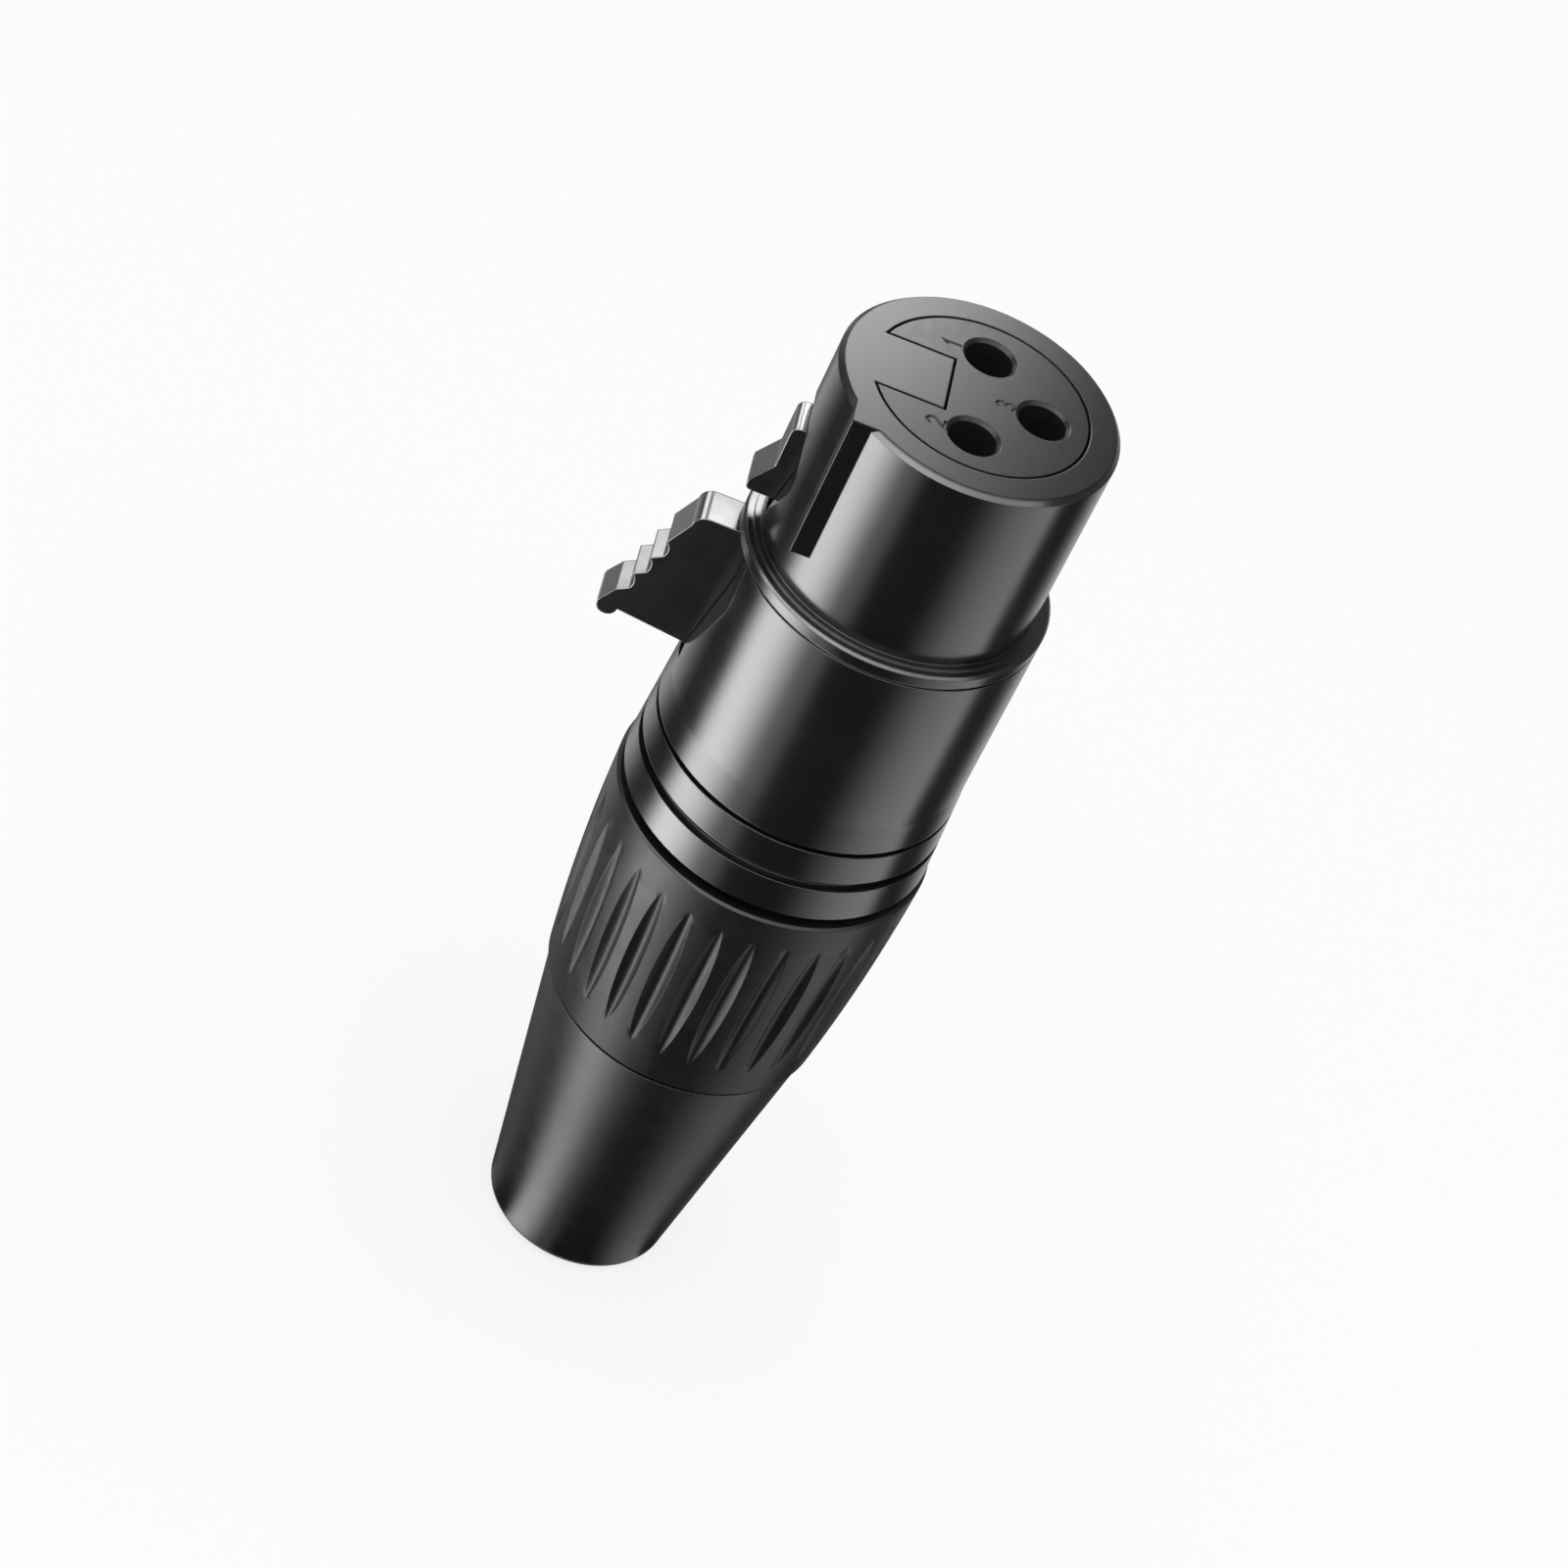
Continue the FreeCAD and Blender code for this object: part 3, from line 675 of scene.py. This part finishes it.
def reflected_only(card):
    """Card that shows in reflections and lights nothing else."""
    card.visible_camera = False
    card.visible_diffuse = False
    card.visible_shadow = False
    card.visible_transmission = False
    card.visible_volume_scatter = False


def aim(piece, place, target):
    """Puts a lamp or a card at a place, its lit side towards a target."""
    piece.location = place
    piece.rotation_euler = (Vector(target) - Vector(place)).to_track_quat("-Z", "Y").to_euler()


def foot_card():
    """Ring of strip lights and dark cards round the foot: it gives the walls their upright strips."""
    material, tree = empty_material("foot_strips")
    place = add(tree, "ShaderNodeTexCoord").outputs["Object"]
    parts = add(tree, "ShaderNodeSeparateXYZ", {}, {0: place}).outputs
    # Share of a turn round the axis, counted from the side away from the camera
    turn = maths(tree, "ARCTAN2", parts["Y"], parts["X"])
    turn = maths(tree, "MULTIPLY_ADD", turn, 0.5 / math.pi, 0.5 - camera_azimuth / 360)
    turn = maths(tree, "FRACT", turn)
    # Corrected for the wall's distance from the axis, which matters close to it
    reach = add(tree, "ShaderNodeVectorMath", {"operation": "LENGTH"}, {0: place}).outputs["Value"]
    lean = maths(tree, "COSINE", maths(tree, "MULTIPLY", turn, math.pi))
    lean = maths(tree, "DIVIDE", maths(tree, "MULTIPLY", lean, wall_radius * MM), reach)
    lean = maths(tree, "ARCSINE", lean)
    turn = maths(tree, "MULTIPLY_ADD", lean, -0.5 / math.pi, turn)
    near = stretch(tree, reach, near_start, near_full, soft=True)
    turn = maths(tree, "MULTIPLY_ADD", near, -near_turn / 180, turn)
    wall = maths(tree, "MULTIPLY_ADD", turn, 180.0, camera_azimuth - 90)
    level = dark_level
    for start, full_from, full_to, end, radiance in foot_strips.values():
        rise = stretch(tree, wall, start, full_from, soft=True)
        fall = stretch(tree, wall, end, full_to, soft=True)
        strip = maths(tree, "MULTIPLY", maths(tree, "MULTIPLY", rise, fall), radiance)
        level = maths(tree, "MAXIMUM", strip, level)
    level = maths(tree, "MULTIPLY", level, stretch(tree, near, 0.0, 1.0, 1.0, near_level))
    glow = add(tree, "ShaderNodeEmission", {}, {"Strength": level})
    add(tree, "ShaderNodeOutputMaterial", {}, {"Surface": glow.outputs[0]})
    form = bmesh.new()
    angles = [2 * math.pi * k / strips_sides for k in range(strips_sides)]
    inner, outer = [
        [form.verts.new((radius * math.cos(a), radius * math.sin(a), strips_height)) for a in angles]
        for radius in (strips_inner_radius, strips_outer_radius)
    ]
    for k in range(strips_sides):
        after = (k + 1) % strips_sides
        form.faces.new((inner[k], outer[k], outer[after], inner[after]))
    reflected_only(new_object("foot_card", as_mesh(form, "foot_card"), material))


def flat_card(name, place, target, width, height, radiance, fades):
    """Glowing card that faces its target; its left, right, low and high edges fade over these shares."""
    material, tree = empty_material(name)
    spot = add(tree, "ShaderNodeTexCoord").outputs["Generated"]
    parts = add(tree, "ShaderNodeSeparateXYZ", {}, {0: spot}).outputs
    level = radiance
    for side, end, fade in zip(("X", "X", "Y", "Y"), (0.0, 1.0, 0.0, 1.0), fades):
        full = fade if end == 0.0 else 1.0 - fade
        level = maths(tree, "MULTIPLY", stretch(tree, parts[side], end, full, soft=True), level)
    glow = add(tree, "ShaderNodeEmission", {}, {"Strength": level})
    clear = add(tree, "ShaderNodeBsdfTransparent")
    both = add(tree, "ShaderNodeAddShader", {}, {0: glow.outputs[0], 1: clear.outputs[0]})
    add(tree, "ShaderNodeOutputMaterial", {}, {"Surface": both.outputs[0]})
    form = bmesh.new()
    corners = ((-1, -1), (1, -1), (1, 1), (-1, 1))
    form.faces.new([form.verts.new((x * width / 2, y * height / 2, 0)) for x, y in corners])
    card = new_object(name, as_mesh(form, name), material)
    aim(card, place, target)
    reflected_only(card)


def dome_card(left, right):
    """Curved sheet of light behind and over the camera, which draws the bright lines along rounded edges.

    Its radiance goes from one level at the picture's left to another at its right.
    """
    material, tree = empty_material("dome_card")
    place = add(tree, "ShaderNodeTexCoord").outputs["Object"]
    across = add(tree, "ShaderNodeSeparateXYZ", {}, {0: place}).outputs["X"]
    level = stretch(tree, across, -dome_half_breadth, dome_half_breadth, right, left)
    glow = add(tree, "ShaderNodeEmission", {}, {"Strength": level})
    add(tree, "ShaderNodeOutputMaterial", {}, {"Surface": glow.outputs[0]})
    form = bmesh.new()
    grid = []
    for row in range(dome_rows + 1):
        height = math.radians(dome_low + (dome_high - dome_low) * row / dome_rows)
        up = dome_radius * math.sin(height)
        out = dome_radius * math.cos(height)
        line = []
        for k in range(dome_columns + 1):
            angle = math.radians(camera_azimuth - dome_reach + 2 * dome_reach * k / dome_columns)
            line.append(form.verts.new((out * math.cos(angle), out * math.sin(angle), up)))
        grid.append(line)
    for near, far in zip(grid, grid[1:]):
        for k in range(dome_columns):
            form.faces.new((near[k], near[k + 1], far[k + 1], far[k]))
    reflected_only(new_object("dome_card", as_mesh(form, "dome_card"), material))


def soft_lamp(name, place, target, width, height, radiance):
    """Rectangular softbox that faces its target; radiance 1 looks white."""
    lamp = bpy.data.lights.new(name, "AREA")
    lamp.shape = "RECTANGLE"
    lamp.size = width
    lamp.size_y = height
    lamp.energy = radiance * math.pi * width * height
    box = bpy.data.objects.new(name, lamp)
    bpy.context.scene.collection.objects.link(box)
    aim(box, place, target)
    box.visible_camera = False


def studio():
    """Pale floor, even sky, a softbox above, and cards that show in reflections alone."""
    world = bpy.data.worlds.new("studio")
    bpy.context.scene.world = world
    world.use_nodes = True
    tree = world.node_tree
    tree.nodes.clear()
    path = add(tree, "ShaderNodeLightPath").outputs
    strength = stretch(tree, path["Is Camera Ray"], 0.0, 1.0, sky_light, sky_seen)
    sky = add(tree, "ShaderNodeBackground", {}, {"Color": linear("#ffffff"), "Strength": strength})
    add(tree, "ShaderNodeOutputWorld", {}, {"Surface": sky.outputs[0]})
    floor_sheet()
    soft_lamp(
        "overhead_softbox", place=(0.0, 0.05, 0.6), target=(0.0, 0.0, 0.035),
        width=0.7, height=0.7, radiance=1.9,
    )
    foot_card()
    # Mirrored by the mating face in the photograph's view
    flat_card(
        "face_card", place=(0.005, -0.035, 0.096), target=(0.005, 0.0, 0.096),
        width=0.036, height=0.034, radiance=28.0, fades=(0.5, 0.25, 0.1, 0.85),
    )
    # Mirrored by the treads of the thumb button
    flat_card(
        "grip_card", place=(0.142, -0.242, 0.172), target=(0.013, 0.0, 0.05),
        width=0.13, height=0.1, radiance=19.0, fades=(0.2, 0.2, 0.2, 0.2),
    )
    dome_card(left=13.0, right=6.0)


def photo_camera():
    """Camera at the photograph's place and lens."""
    data = bpy.data.cameras.new("photo_camera")
    data.sensor_width = sensor_width
    data.lens = sensor_width * photo_focal / photo_side
    data.clip_start = 0.01
    data.clip_end = 20.0
    camera = bpy.data.objects.new("photo_camera", data)
    bpy.context.scene.collection.objects.link(camera)
    back = camera_right.cross(camera_up)
    turned = Matrix((camera_right, camera_up, back)).transposed().to_4x4()
    camera.matrix_world = Matrix.Translation(camera_place * MM) @ turned
    bpy.context.scene.camera = camera


# Finishes of the solids
shell_metal = black_plated_zinc()
latch_metal = black_plated_latch()
ring_plastic = gloss_ring_plastic()
insert_plastic = satin_insert_plastic()
collar_plastic = matte_collar_plastic()
boot_rubber = soft_boot_rubber()
contact_gold = gold_plated_contact()
lug_metal = tinned_lug_strip()
steel = spring_steel()
chuck_plastic = natural_chuck_plastic()
finishes = {
    "shell": shell_metal,
    "coding_ring": ring_plastic,
    "contact_retainer": insert_plastic,
    "contact_1": contact_gold,
    "contact_2": contact_gold,
    "contact_3": contact_gold,
    "ground_lug": lug_metal,
    "latch_lever": latch_metal,
    "latch_pin": steel,
    "chuck": chuck_plastic,
    "boot_sleeve": boot_rubber,
}
for node, material in finishes.items():
    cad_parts[node].material_slots[0].material = material

# Collar with its flutes, in place of the plain solid
collar = repeated_round("fluted_collar", collar_sector(), flute_count, collar_plastic)
tidy_mesh(collar.data, sharp_degrees=28)
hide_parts("gland_nut")
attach(collar, "nut")

# Front insert with its digits
insert = engraved_insert(insert_plastic)
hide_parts("contact_block")
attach(insert, "housing")

# Threads of the neck and of the collar's bore
neck_thread = thread_ridge(
    "neck_thread", neck_radius - thread_sink, neck_radius + thread_rise,
    neck_end_z + thread_margin, ring_rear_z - thread_margin, 0.0, shell_metal,
)
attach(neck_thread, "housing")
bore_thread = thread_ridge(
    "bore_thread", thread_bore + thread_sink, thread_bore - thread_rise,
    cone_z + thread_margin, collar_front_z - thread_mouth_margin, math.pi, collar_plastic,
)
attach(bore_thread, "nut")

# Leaf spring: a merged copy of the solid with a mesh of its own, shown in the solid's place
spring = merged_copy("latch_spring", "leaf_spring", steel)
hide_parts("latch_spring")
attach(spring, "housing")
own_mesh(spring)

studio()
photo_camera()
bpy.context.scene.view_settings.view_transform = "Standard"
